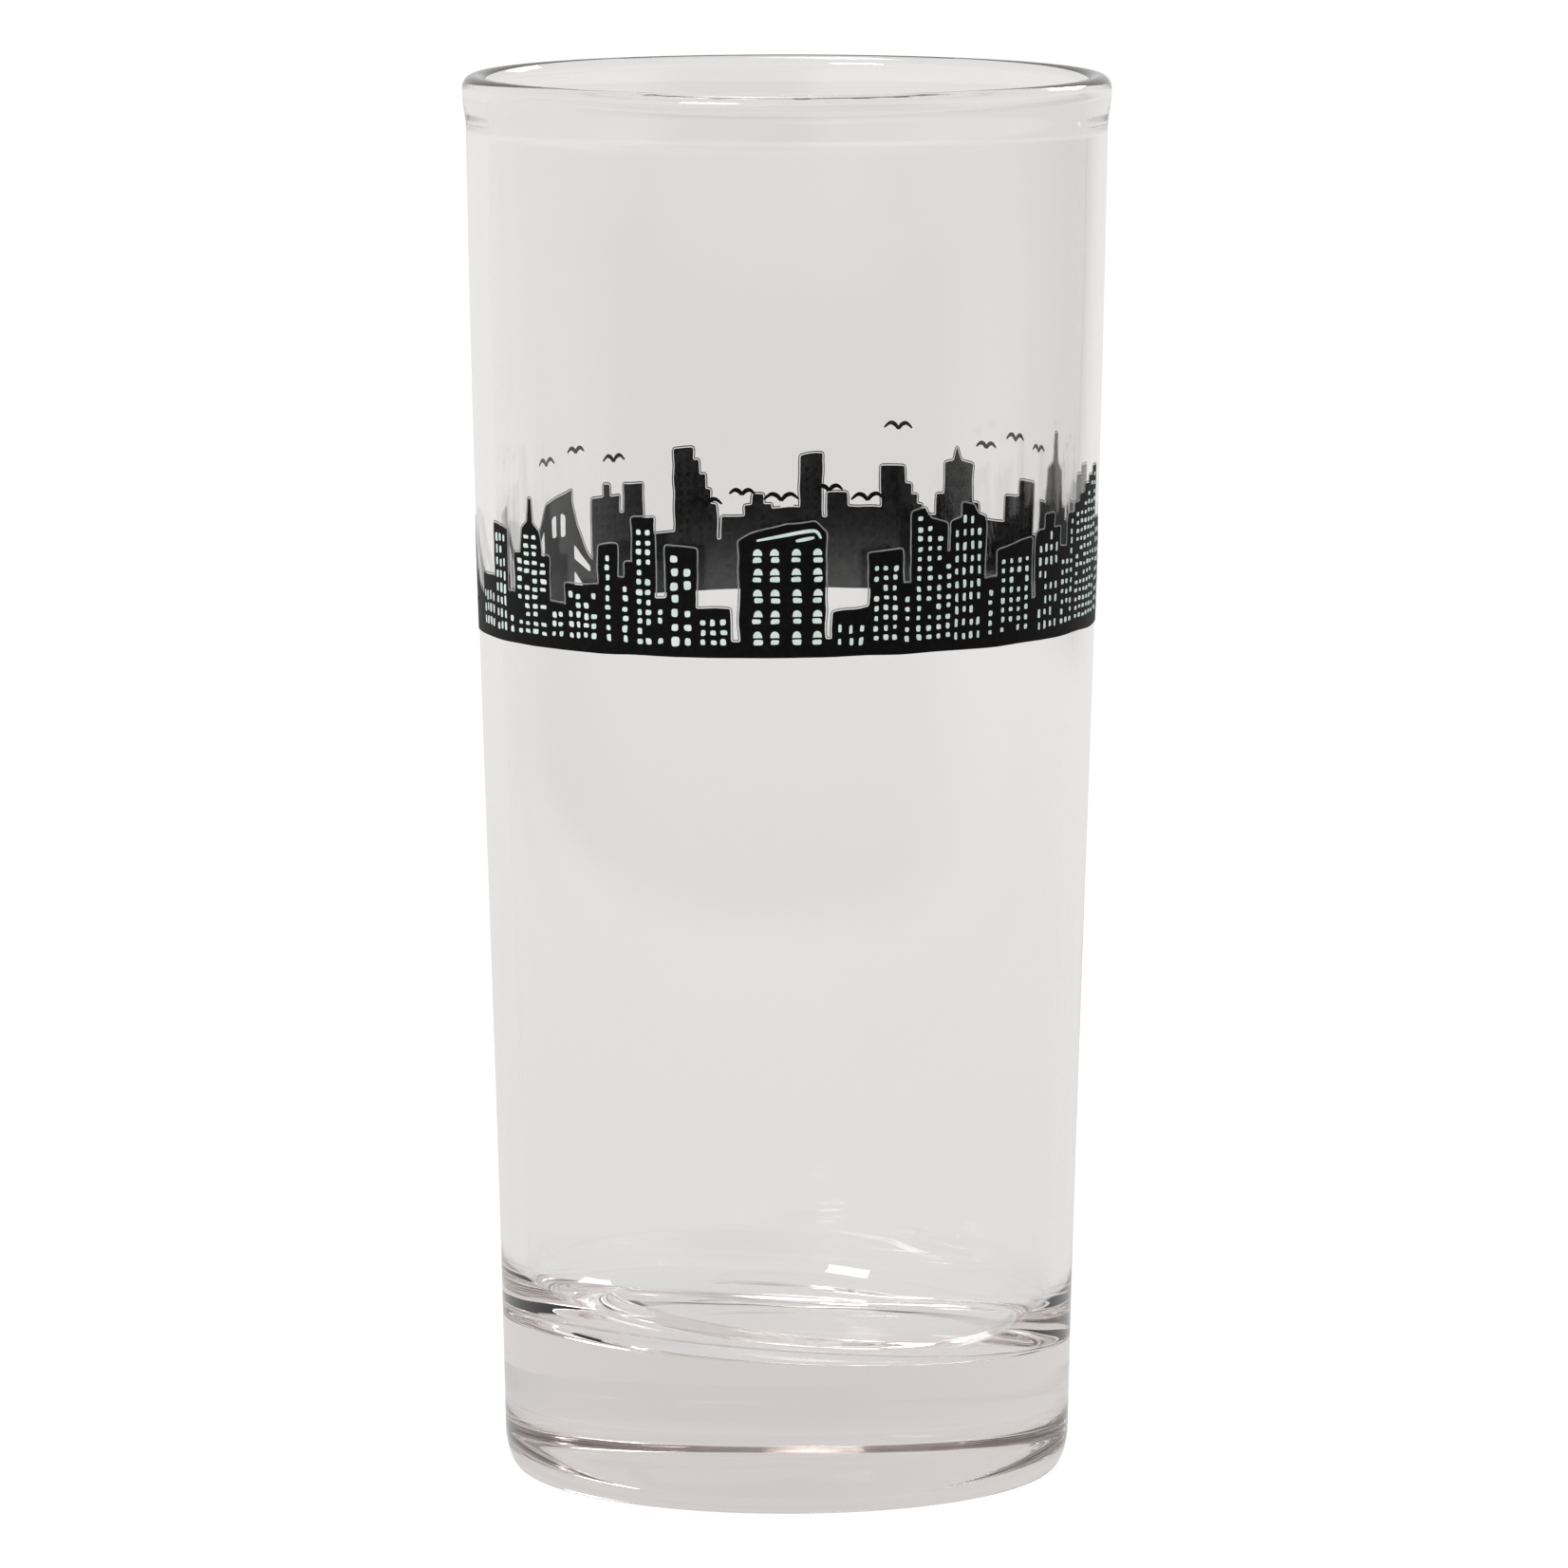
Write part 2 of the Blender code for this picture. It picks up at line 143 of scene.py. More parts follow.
def tank(height, left, right, rise):
    """A flat roof with a water tank between left and right."""
    box = [(left, height), (left, height + rise), (right, height + rise), (right, height)]
    return [(0.0, height), *box, (1.0, height)]


def lantern(left, shoulder, tip, right):
    """A tower with a small pointed lantern between lower wings."""
    crown = [(0.15, shoulder), (0.42, shoulder + 0.2), (0.5, tip), (0.6, shoulder + 0.2), (0.8, shoulder)]
    return [(0.0, left), (0.15, left), *crown, (0.8, right), (1.0, right)]


def cable(left, right, sag):
    """A bridge cable that hangs between two towers."""
    points = []
    for step in range(9):
        share = step / 8
        points.append((share, left + (right - left) * share - sag * 4 * share * (1 - share)))
    return points


# Buildings round the glass, as (angle of the left edge in degrees, kind of windows, roof). Each one ends
# where the next begins, 0 degrees is the front and the seam is at the back.
BUILDINGS = [
    (-180.0, "dots", flat(5.6)),
    (-176.8, "dots", tank(5.9, 0.3, 0.7, 0.7)),
    (-171.6, "dots", flat(5.1)),
    (-166.9, "none", flat(3.5)),
    (-166.0, "dots", stairs(6.0, 9.2, 4)),
    (-161.3, "dots", flat(10.0)),
    (-157.2, "dots", flat(4.2)),
    (-150.3, "tall", slanted(7.7, 7.8)),
    (-145.7, "dots", flat(5.8)),
    (-144.4, "dots", tank(7.0, 0.35, 0.55, 0.9)),
    (-136.4, "none", cable(2.7, 6.8, 0.7)),
    (-130.4, "none", slanted(7.8, 7.0)),
    (-121.6, "none", cable(7.0, 7.0, 4.0)),
    (-97.0, "none", slanted(7.8, 7.4)),
    (-90.4, "none", cable(6.8, 2.7, 0.9)),
    (-76.0, "tall", flat(4.2)),
    (-68.4, "tall", slanted(7.9, 7.6)),
    (-62.6, "dots", flat(3.4)),
    (-59.6, "wide", spire(6.2, 7.8, 9.9, 0.2)),
    (-48.8, "dots", flat(3.1)),
    (-44.4, "dots", slanted(4.4, 4.6)),
    (-36.2, "dots", slanted(7.2, 7.4)),
    (-32.3, "dots", stairs(5.1, 6.2, 2)),
    (-28.9, "dots", slanted(9.2, 9.3)),
    (-24.5, "dots", flat(3.9)),
    (-22.3, "big", slanted(7.4, 7.2)),
    (-16.6, "dots", flat(3.3)),
    (-10.2, "none", flat(1.1)),
    (-8.6, FRONT_TOWER, [(0.0, 7.8), (0.15, 8.3), (0.55, 8.8), (0.88, 9.0), (1.0, 8.3)]),
    (6.9, "none", flat(1.2)),
    (8.2, "tall", slanted(3.0, 3.3)),
    (15.0, "dots", slanted(6.8, 7.0)),
    (21.2, "dots", flat(4.7)),
    (23.1, "dots", [(0.0, 9.4), (0.36, 9.7), (0.52, 8.9), (1.0, 8.6)]),
    (30.0, "dots", flat(6.6)),
    (31.0, "tall", [(0.0, 8.6), (0.32, 8.9), (0.32, 9.9), (0.62, 9.6), (0.72, 9.1), (1.0, 8.8)]),
    (38.4, "dots", flat(4.6)),
    (41.6, "dots", slanted(6.4, 7.0)),
    (50.6, "none", flat(2.9)),
    (52.0, "tall", tank(7.4, 0.35, 0.7, 1.0)),
    (59.8, "dots", stairs(6.0, 8.2, 2)),
    (65.8, "wide", stairs(8.8, 11.0, 5)),
    (79.0, "dots", flat(7.2)),
    (85.0, "dots", stairs(4.6, 6.2, 3)),
    (92.0, "tall", flat(7.7)),
    (97.0, "dots", flat(4.4)),
    (99.0, "big", tank(6.2, 0.2, 0.5, 1.1)),
    (103.0, "tall", spire(7.0, 9.4, 12.0, 0.2)),
    (116.5, "dots", flat(4.6)),
    (119.6, "dots", [(0.0, 8.2), (0.55, 8.2), (0.55, 7.1), (1.0, 7.0)]),
    (130.4, "dots", flat(5.2)),
    (137.8, "big", lantern(6.4, 9.0, 10.2, 6.8)),
    (148.0, "dots", flat(5.3)),
    (151.5, "dots", stairs(6.0, 7.4, 3)),
    (155.5, "tall", flat(8.6)),
    (160.6, "dots", flat(5.7)),
    (167.8, "dots", flat(6.7)),
    (172.0, "dots", flat(4.9)),
    (173.2, "dots", slanted(9.5, 9.3)),
    (177.8, "dots", flat(5.6)),
]

# The bridge's openings, as (left edge of the tower or span, shares of its width from and to, heights at
# the lower left and right, heights at the upper left and right)
BRIDGE_OPENINGS = [
    (-130.4, 0.24, 0.42, 4.6, 4.6, 6.1, 6.3),
    (-130.4, 0.58, 0.76, 4.6, 4.6, 6.2, 6.0),
    (-97.0, 0.24, 0.42, 4.6, 4.6, 6.7, 6.5),
    (-97.0, 0.58, 0.76, 4.6, 4.6, 6.3, 6.1),
    (-121.6, 0.04, 0.11, 2.0, 2.0, 5.3, 4.5),
    (-121.6, 0.14, 0.22, 2.0, 2.0, 4.2, 3.5),
    (-121.6, 0.78, 0.86, 2.0, 2.0, 3.5, 4.2),
    (-121.6, 0.89, 0.96, 2.0, 2.0, 4.5, 5.3),
    (-136.4, 0.15, 0.95, 1.9, 3.0, 2.3, 4.0),
    (-136.4, 0.55, 0.95, 0.9, 0.9, 1.2, 2.2),
    (-90.4, 0.05, 0.22, 2.0, 2.0, 5.1, 4.1),
    (-90.4, 0.30, 0.52, 2.0, 2.0, 3.4, 2.6),
]

# The front tower's windows: each is an arched pane over a sill, at these angles and heights
WINDOW_COLUMNS = (-5.25, -2.15, 1.75, 5.55)
WINDOW_ROWS = (6.85, 5.55, 4.15, 2.75, 1.35)
ARCH_SIZE = (0.60, 0.44)
SILL_SIZE = (0.58, 0.33)
SILL_DROP = 0.30

# Two strokes of light along the front tower's roof, as (angle, height) points
ROOF_STROKES = [
    [(-5.4, 7.85), (-1.0, 8.15), (3.2, 8.42), (5.2, 8.42), (6.1, 7.95)],
    [(1.6, 7.80), (4.9, 8.02)],
]

# Birds over the skyline, as (angle, height above the baseline, wing span)
BIRDS = [
    (-14.5, 10.2, 2.1),
    (-8.0, 10.9, 1.7),
    (-1.0, 10.5, 2.3),
    (7.5, 11.1, 1.8),
    (14.5, 10.4, 2.2),
    (-143.0, 9.4, 2.2),
    (-132.0, 10.3, 1.8),
    (-122.0, 9.7, 2.3),
    (118.0, 10.4, 1.9),
    (127.5, 10.9, 2.2),
    (136.0, 10.2, 1.8),
    (157.0, 11.2, 2.2),
]

# Half a bird, as (share of its half span, share of its rise) points from the body to the wing's tip
WING = ((0.0, 0.0), (0.25, 0.75), (0.6, 0.95), (1.0, 0.2))

# Windows of the other buildings, as (pitch across, pitch up, pane width, pane height)
WINDOW_KINDS = {
    "dots": (0.60, 0.66, 0.34, 0.36),
    "tall": (0.56, 0.86, 0.27, 0.52),
    "wide": (0.74, 0.58, 0.48, 0.27),
    "big": (0.80, 0.92, 0.46, 0.52),
}

WINDOW_MARGIN = 0.15
LOWEST_WINDOW = 0.95

# How much wider and taller the windows are left of the front, and elsewhere
FRONT_BEGINS = -15.0
LEFT_WINDOWS = (1.14, 1.08)
RIGHT_WINDOWS = (0.94, 0.96)


# ------------------------------------------------------------------ materials
def new_material(name):
    made = bpy.data.materials.new(name)
    made.use_nodes = True
    return made, made.node_tree, made.node_tree.nodes["Principled BSDF"]


def noise_ramp(tree, scale, stops, detail=3.0, roughness=0.6):
    """A colour ramp read by noise in the object's own coordinates. stops are (position, colour) pairs."""
    place = tree.nodes.new("ShaderNodeTexCoord")
    field = tree.nodes.new("ShaderNodeTexNoise")
    field.inputs["Scale"].default_value = scale
    field.inputs["Detail"].default_value = detail
    field.inputs["Roughness"].default_value = roughness
    tree.links.new(place.outputs["Object"], field.inputs["Vector"])
    ramp = tree.nodes.new("ShaderNodeValToRGB")
    elements = ramp.color_ramp.elements
    while len(elements) < len(stops):
        elements.new(0.5)
    for element, (position, colour) in zip(elements, stops):
        element.position = position
        element.color = (*colour, 1.0)
    tree.links.new(field.outputs["Fac"], ramp.inputs["Fac"])
    return field, ramp


def add_bump(tree, shader, field, strength, distance):
    bump = tree.nodes.new("ShaderNodeBump")
    bump.inputs["Strength"].default_value = strength
    bump.inputs["Distance"].default_value = distance
    tree.links.new(field.outputs["Fac"], bump.inputs["Height"])
    tree.links.new(bump.outputs["Normal"], shader.inputs["Normal"])


def glass_material():
    made, tree, shader = new_material("clear_glass")
    shader.inputs["Base Color"].default_value = (0.988, 0.984, 0.980, 1.0)
    shader.inputs["Roughness"].default_value = 0.0
    shader.inputs["IOR"].default_value = 1.51
    shader.inputs["Transmission Weight"].default_value = 1.0
    volume = tree.nodes.new("ShaderNodeVolumeAbsorption")
    volume.inputs["Color"].default_value = (0.725, 0.65, 0.625, 1.0)
    volume.inputs["Density"].default_value = 18.0
    tree.links.new(volume.outputs["Volume"], tree.nodes["Material Output"].inputs["Volume"])
    return made


def enamel_material(name, stops, scale, roughness, specular, bump=0.15):
    made, tree, shader = new_material(name)
    field, ramp = noise_ramp(tree, scale, stops)
    tree.links.new(ramp.outputs["Color"], shader.inputs["Base Color"])
    shader.inputs["Roughness"].default_value = roughness
    shader.inputs["Specular IOR Level"].default_value = specular
    add_bump(tree, shader, field, bump, 0.01 * MM)
    return made


# ------------------------------------------------------------------ the glass
def arc(centre, across, up, start, end, steps):
    points = []
    for step in range(steps + 1):
        turn = math.radians(start + (end - start) * step / steps)
        points.append(centre + Vector((across * math.cos(turn), up * math.sin(turn))))
    return points


def side_curve(stations):
    third = (SIDE_TOP.y - SIDE_BOTTOM.y) / 3
    low = SIDE_BOTTOM + Vector((SIDE_BOTTOM_SLOPE * third, third))
    high = SIDE_TOP - Vector((SIDE_TOP_SLOPE * third, third))
    return interpolate_bezier(SIDE_BOTTOM, low, high, SIDE_TOP, stations)


SIDE_TABLE = side_curve(200)


def side_radius(z):
    place = (z - SIDE_BOTTOM.y) / (SIDE_TOP.y - SIDE_BOTTOM.y) * (len(SIDE_TABLE) - 1)
    step = min(max(int(place), 0), len(SIDE_TABLE) - 2)
    return SIDE_TABLE[step].lerp(SIDE_TABLE[step + 1], place - step).x


def inner_radius(z):
    share = (z - FILLET_TOP) / (SIDE_TOP.y - FILLET_TOP)
    return side_radius(z) - (WALL_BOTTOM + (WALL_TOP - WALL_BOTTOM) * share)


def bead_side(foot, bulge, steps):
    points = []
    for step in range(1, steps):
        share = step / steps
        ease = (1 - math.cos(math.pi * share)) / 2
        points.append(Vector((foot.x + (bulge.x - foot.x) * ease, foot.y + (bulge.y - foot.y) * share)))
    return points


def glass_profile():
    """The outside and the inside as (radius, height) points, from under the foot to the floor's middle."""
    ring_in, ring_out = RESTING_RING
    last = UNDERSIDE_ROWS - 1
    shares = [step / last for step in range(UNDERSIDE_ROWS)]
    underside = [Vector((ring_in * share, PUSH_UP * (1 - share**2))) for share in shares]
    ring = [Vector((ring_in + (ring_out - ring_in) * s / 4, 0.0)) for s in range(1, 4)]
    heel = arc(Vector((ring_out, SIDE_BOTTOM.y)), SIDE_BOTTOM.x - ring_out, SIDE_BOTTOM.y, -90, 0, 32)
    outside = side_curve(90)[1:]
    inner_top = inner_radius(SIDE_TOP.y) + LIP_FLARE
    half_width = (RIM_RADIUS - inner_top) / 2
    crest_centre = Vector((RIM_RADIUS - half_width, HEIGHT - BEAD_CREST))
    crest = arc(crest_centre, half_width, BEAD_CREST, 0, 180, 28)
    outer_swell = bead_side(SIDE_TOP, crest[0], 14)
    heights = [point.y for point in side_curve(140)[::-1] if point.y > FILLET_TOP + 0.3 * MM]
    walls = [Vector((inner_radius(z), z)) for z in heights]
    fillet_width = inner_radius(FILLET_TOP) - GUTTER_RADIUS
    fillet_height = FILLET_TOP - GUTTER_HEIGHT
    fillet = arc(Vector((GUTTER_RADIUS, FILLET_TOP)), fillet_width, fillet_height, 0, -90, 22)
    rise = []
    for step in range(1, 10):
        radius = GUTTER_RADIUS + (PAD_RADIUS - GUTTER_RADIUS) * step / 10
        share = fades(radius, PAD_RADIUS, GUTTER_RADIUS)
        rise.append(Vector((radius, GUTTER_HEIGHT + (PAD_HEIGHT - GUTTER_HEIGHT) * share)))
    shares = [step / 16 for step in range(16, -1, -1)]
    pad = [Vector((PAD_RADIUS * share, PAD_HEIGHT - PAD_DISH * (1 - share**2))) for share in shares]
    outer = underside + ring + heel + outside + outer_swell + crest[:15]
    return outer, crest[15:] + walls + fillet + rise + pad


def fades(value, start, end):
    """1 up to start and 0 from end on, with a smooth fall between."""
    share = min(1.0, max(0.0, (value - start) / (end - start)))
    return 1 - share * share * (3 - 2 * share)


def ripple(angle, z):
    """How far the pressed inner wall strays from a true circle."""
    wave = math.sin(3 * angle + 0.7) * 0.5
    wave += math.sin(7 * angle + 2.1 + z * 30) * 0.3
    wave += math.sin(17 * angle + 4.0 - z * 45) * 0.12
    unevenness = noise.noise(Vector((math.cos(angle) * 2.2, math.sin(angle) * 2.2, z * 28)))
    return 0.030 * MM * wave + 0.02 * MM * unevenness


def turned(shape, point):
    """One ring of vertices, or a single one on the axis."""
    if point.x < 1e-6:
        return [shape.verts.new((0.0, 0.0, point.y))]
    ring = []
    for step in range(TURN_STEPS):
        turn = math.tau * step / TURN_STEPS
        ring.append(shape.verts.new((point.x * math.cos(turn), point.x * math.sin(turn), point.y)))
    return ring


def wave_underside(vertex):
    x, y, z = vertex.co
    spot = Vector((x / (5 * MM), y / (5 * MM), 2.7))
    vertex.co.z += UNDERSIDE_WAVE * noise.noise(spot) * z / PUSH_UP


def press_inside(vertex):
    """Gives a vertex of the inside its ripple, and lets the floor lean and its pad stand to the right."""
    x, y, z = vertex.co
    angle = math.atan2(y, x)
    deep = min(1.0, max(0.0, (HEIGHT - 5 * MM - z) / (8 * MM)))
    radius = math.hypot(x, y)
    if radius > 1e-6:
        grow = 1 + ripple(angle, z) * deep * min(1.0, radius / PAD_RADIUS) / radius
        vertex.co.x *= grow
        vertex.co.y *= grow
    pad = fades(radius, PAD_RADIUS, GUTTER_RADIUS)
    lean = GUTTER_LEAN.lerp(PAD_LEAN, pad) * fades(z, FILLET_TOP, LEAN_FADES_AT)
    vertex.co.z -= Vector((x, y)).dot(lean)
    vertex.co.x += PAD_SHIFT * fades(radius, PAD_RADIUS, inner_radius(FILLET_TOP))


def make_tumbler():
    outside, inside = glass_profile()
    shape = bmesh.new()
    rings = [turned(shape, point) for point in outside + inside]
    for low, high in zip(rings, rings[1:]):
        for s in range(TURN_STEPS):
            t = (s + 1) % TURN_STEPS
            corners = [low[s % len(low)], low[t % len(low)], high[t % len(high)], high[s % len(high)]]
            shape.faces.new(list(dict.fromkeys(corners)))
    for ring in rings[:UNDERSIDE_ROWS]:
        for vertex in ring:
            wave_underside(vertex)
    for ring in rings[len(outside) :]:
        for vertex in ring:
            press_inside(vertex)
    bmesh.ops.recalc_face_normals(shape, faces=shape.faces)
    mesh = bpy.data.meshes.new("tumbler")
    shape.to_mesh(mesh)
    shape.free()
    mesh.shade_smooth()
    mesh.materials.append(glass_material())
    made = bpy.data.objects.new("tumbler", mesh)
    bpy.context.scene.collection.objects.link(made)
    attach(made, "root")
    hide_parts("glass_body")
    return made


# ------------------------------------------------------------------ the print, drawn flat and wrapped
def baseline(angle):
    return BASELINE + BASELINE_TILT * math.sin(math.radians(angle))


def wrapped(u, v, lift):
    """A point of the drawing on the glass: u millimetres round from the front, v above the baseline."""
    angle = u / DEGREE
    z = (baseline(angle) + v) * MM
    turn = math.radians(angle)
    radius = side_radius(z) + lift * MM
    return Vector((radius * math.sin(turn), -radius * math.cos(turn), z))


def to_piece(name, shape, lifts, materials, node_names, whole_turn=False):
    """Wraps flat faces (x is u, z is v) on to the glass and gives them thickness.

    The side that faces the glass gets the second material, if there is one.
    """
    low, high = lifts
    for vertex in shape.verts:
        vertex.co = wrapped(vertex.co.x, vertex.co.z, low)
    if whole_turn:
        bmesh.ops.remove_doubles(shape, verts=shape.verts, dist=0.0005 * MM)
    raised = bmesh.ops.extrude_face_region(shape, geom=shape.faces[:])
    for vertex in raised["geom"]:
        if isinstance(vertex, bmesh.types.BMVert):
            vertex.co += Vector((vertex.co.x, vertex.co.y, 0.0)).normalized() * (high - low) * MM
    bmesh.ops.recalc_face_normals(shape, faces=shape.faces)
    if len(materials) > 1:
        for face in shape.faces:
            middle = face.calc_center_median()
            if face.normal.dot(Vector((middle.x, middle.y, 0.0)).normalized()) < -0.5:
                face.material_index = 1
    mesh = bpy.data.meshes.new(name)
    shape.to_mesh(mesh)
    shape.free()
    mesh.shade_smooth()
    mesh.set_sharp_from_angle(angle=math.radians(40))
    for finish in materials:
        mesh.materials.append(finish)
    made = bpy.data.objects.new(name, mesh)
    bpy.context.scene.collection.objects.link(made)
    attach(made, "root")
    if node_names:
        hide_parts(*node_names)
    return made


def rounded(points, cut, closed=True):
    """Takes each corner off by up to cut, with three points in its place."""
    result = []
    count = len(points)
    for index, point in enumerate(points):
        here = Vector(point)
        if not closed and index in (0, count - 1):
            result.append(here)
            continue
        before, after = Vector(points[index - 1]), Vector(points[(index + 1) % count])
        back, ahead = before - here, after - here
        near = min(cut, back.length / 3)
        far = min(cut, ahead.length / 3)
        start, end = here + back.normalized() * near, here + ahead.normalized() * far
        result += [start, (start + end) / 4 + here / 2, end]
    return result


def hand_drawn(points, step, amount, seed, closed=True):
    """Adds points along a line and lets them stray a little, as a pen does."""
    result = []
    ends = points[1:] + points[:1] if closed else points[1:]
    for one, other in zip(points, ends):
        pieces = max(1, round((other - one).length / step))
        result += [one.lerp(other, piece / pieces) for piece in range(pieces)]
    if not closed:
        result.append(points[-1])
    strayed = []
    for point in result:
        turn = point.x / PRINT_RADIUS
        spot = Vector((math.cos(turn) * 16, math.sin(turn) * 16, point.y * 0.8 + seed))
        other_spot = spot + Vector((7.3, 1.9, 4.1))
        strayed.append(point + Vector((noise.noise(spot), noise.noise(other_spot))) * amount)
    return strayed


def spans():
    lefts = [left for left, _, _ in BUILDINGS] + [180.0]
    return [(left, right, kind, roof) for (left, kind, roof), right in zip(BUILDINGS, lefts[1:])]


def roofline():
    points = []
    for left, right, _, roof in spans():
        points += [Vector(((left + (right - left) * share) * DEGREE, height)) for share, height in roof]
    distinct = points[:1]
    for point in points[1:]:
        if (point - distinct[-1]).length > 1e-4:
            distinct.append(point)
    return hand_drawn(rounded(distinct, 0.13, closed=False), 0.45, 0.10, 3.0, closed=False)


ROOFLINE = roofline()


def flat_shape(loops):
    shape = bmesh.new()
    for loop in loops:
        corners = [shape.verts.new((point.x, 0.0, point.y)) for point in loop]
        for one, other in zip(corners, corners[1:] + corners[:1]):
            shape.edges.new((one, other))
    bmesh.ops.triangle_fill(shape, use_beauty=True, use_dissolve=False, edges=shape.edges)
    return shape


def skyline_edge(half_turn):
    """The roofs from left to right, then the uneven lower edge from right to left."""
    top = [point.copy() for point in ROOFLINE]
    top[0].x, top[-1].x = -half_turn, half_turn
    top[-1].y = top[0].y
    steps = 120
    bottom = []
    for step in range(steps + 1):
        u = half_turn - 2 * half_turn * step / steps
        turn = u / PRINT_RADIUS
        spot = Vector((math.cos(turn) * 6, math.sin(turn) * 6, 5.0))
        bottom.append(Vector((u, 0.09 * noise.noise(spot))))
    bottom[-1].y = bottom[0].y
    return top + bottom


def bridge_holes():
    holes = []
    widths = {left: right - left for left, right, _, _ in spans()}
    for left, start, end, low_left, low_right, high_left, high_right in BRIDGE_OPENINGS:
        one = (left + widths[left] * start) * DEGREE
        other = (left + widths[left] * end) * DEGREE
        corners = [(one, low_left), (other, low_right), (other, high_right), (one, high_left)]
        holes.append(hand_drawn(rounded(corners, 0.2), 0.4, 0.06, 9.0))
    return holes


def make_skyline(black, black_behind):
    half_turn = 180.0 * DEGREE
    shape = flat_shape([skyline_edge(half_turn), *bridge_holes()])
    step = 2 * half_turn / TURN_STEPS
    for cut in range(1, TURN_STEPS):
        everything = shape.verts[:] + shape.edges[:] + shape.faces[:]
        place = (-half_turn + cut * step, 0, 0)
        bmesh.ops.bisect_plane(shape, geom=everything, dist=1e-5, plane_co=place, plane_no=(1, 0, 0))
    finishes = [black, black_behind]
    to_piece("skyline_band", shape, LIFT_BLACK, finishes, ["skyline_ink"], whole_turn=True)


def pane(rng, u, v, width, height):
    """A small blob of colour with a hand-cut look."""
    corners = []
    for across, up in ((-0.5, -0.5), (0.5, -0.5), (0.5, 0.5), (-0.5, 0.5)):
        corner_u = u + width * (across + rng.uniform(-0.10, 0.10))
        corner_v = v + height * (up + rng.uniform(-0.10, 0.10))
        corners.append(Vector((corner_u, corner_v)))
    return rounded(corners, min(width, height) * rng.uniform(0.30, 0.42))


def dome(rng, u, v, width, height):
    """An arched window light: a flat foot and a round head."""
    points = []
    for step in range(9):
        turn = math.pi * step / 8
        across = width / 2 * math.cos(turn) * rng.uniform(0.94, 1.06)
        points.append(Vector((u + across, v + height * math.sin(turn) ** 0.8)))
    return points


def roof_height(roof, share):
    """The height of a roof at a share of its width, the lower one where it jumps."""
    heights = [high for (at, high) in roof if abs(at - share) < 1e-9]
    for (one, low), (other, high) in zip(roof, roof[1:]):
        if one <= share <= other and other > one:
            heights.append(low + (high - low) * (share - one) / (other - one))
    return min(heights) if heights else 0.0


def tower_panes(rng):
    loops = []
    for row in WINDOW_ROWS:
        for column in WINDOW_COLUMNS:
            u = column * DEGREE
            loops.append(dome(rng, u + rng.uniform(-0.03, 0.03), row, *ARCH_SIZE))
            loops.append(pane(rng, u + rng.uniform(-0.04, 0.04), row - SILL_DROP, *SILL_SIZE))
    return loops


def clear_height(roof, share, reach):
    """The lowest roof within reach of a share of the building's width."""
    places = (max(0.0, share - reach), share, min(1.0, share + reach))
    return min(roof_height(roof, place) for place in places)


def building_panes(rng):
    """Windows in columns and rows, a little larger on the left buildings than on the right ones."""
    loops = []
    for left, right, kind, roof in spans():
        if kind not in WINDOW_KINDS:
            continue
        pitch_u, pitch_v, width, height = WINDOW_KINDS[kind]
        wider, taller = LEFT_WINDOWS if left < FRONT_BEGINS else RIGHT_WINDOWS
        across = (right - left) * DEGREE
        used = across - 2 * WINDOW_MARGIN
        columns = max(1, int(used / pitch_u))
        v_shift = rng.uniform(0.0, 0.25)
        tall_roof = max(high for _, high in roof)
        rows = int((tall_roof - 1.1 - v_shift) / pitch_v)
        for column in range(columns):
            share = (WINDOW_MARGIN + used * (column + 0.5) / columns) / across
            clear = clear_height(roof, share, width / 2 / across)
            for row in range(rows + 1):
                v = LOWEST_WINDOW + v_shift + pitch_v * row
                if v + height / 2 > clear - 0.38 or rng.random() < 0.05:
                    continue
                u = left * DEGREE + share * across + rng.uniform(-0.04, 0.04)
                pane_width = width * (rng.uniform(0.75, 1.12) * wider)
                pane_v = v + rng.uniform(-0.05, 0.05)
                pane_height = height * rng.uniform(0.78, 1.15) * taller
                loops.append(pane(rng, u, pane_v, pane_width, pane_height))
    return loops


def loops_shape(loops):
    shape = bmesh.new()
    for loop in loops:
        shape.faces.new([shape.verts.new((point.x, 0.0, point.y)) for point in loop])
    return shape


def ribbon(points, widths):
    """A pen stroke along points, as two edges that become one loop."""
    lefts, rights = [], []
    for index, point in enumerate(points):
        before = points[max(0, index - 1)]
        after = points[min(len(points) - 1, index + 1)]
        along = (after - before).normalized()
        side = Vector((-along.y, along.x)) * widths[index] / 2
        lefts.append(point + side)
        rights.append(point - side)
    return lefts, rights


def stroke_shape(strokes):
    """Each stroke is (points, widths)."""
    shape = bmesh.new()
    for points, widths in strokes:
        lefts, rights = ribbon(points, widths)
        one = [shape.verts.new((point.x, 0.0, point.y)) for point in lefts]
        other = [shape.verts.new((point.x, 0.0, point.y)) for point in rights]
        for step in range(len(points) - 1):
            shape.faces.new((one[step], one[step + 1], other[step + 1], other[step]))
    return shape


def smooth_stroke(points, steps):
    """A Catmull-Rom line through points."""
    result = []
    for index in range(len(points) - 1):
        p0, p1 = points[max(0, index - 1)], points[index]
        p2, p3 = points[index + 1], points[min(len(points) - 1, index + 2)]
        bend = 2 * p0 - 5 * p1 + 4 * p2 - p3
        twist = 3 * p1 - p0 - 3 * p2 + p3
        for step in range(steps):
            t = step / steps
            result.append(0.5 * (2 * p1 + (p2 - p0) * t + bend * t * t + twist * t**3))
    result.append(points[-1].copy())
    return result


def swelling(count, thin, extra, start, span):
    """A pen's widths along a stroke: it thickens and thins as a half wave does."""
    places = [index / (count - 1) for index in range(count)]
    return [thin + extra * math.sin(math.pi * (start + span * place)) for place in places]


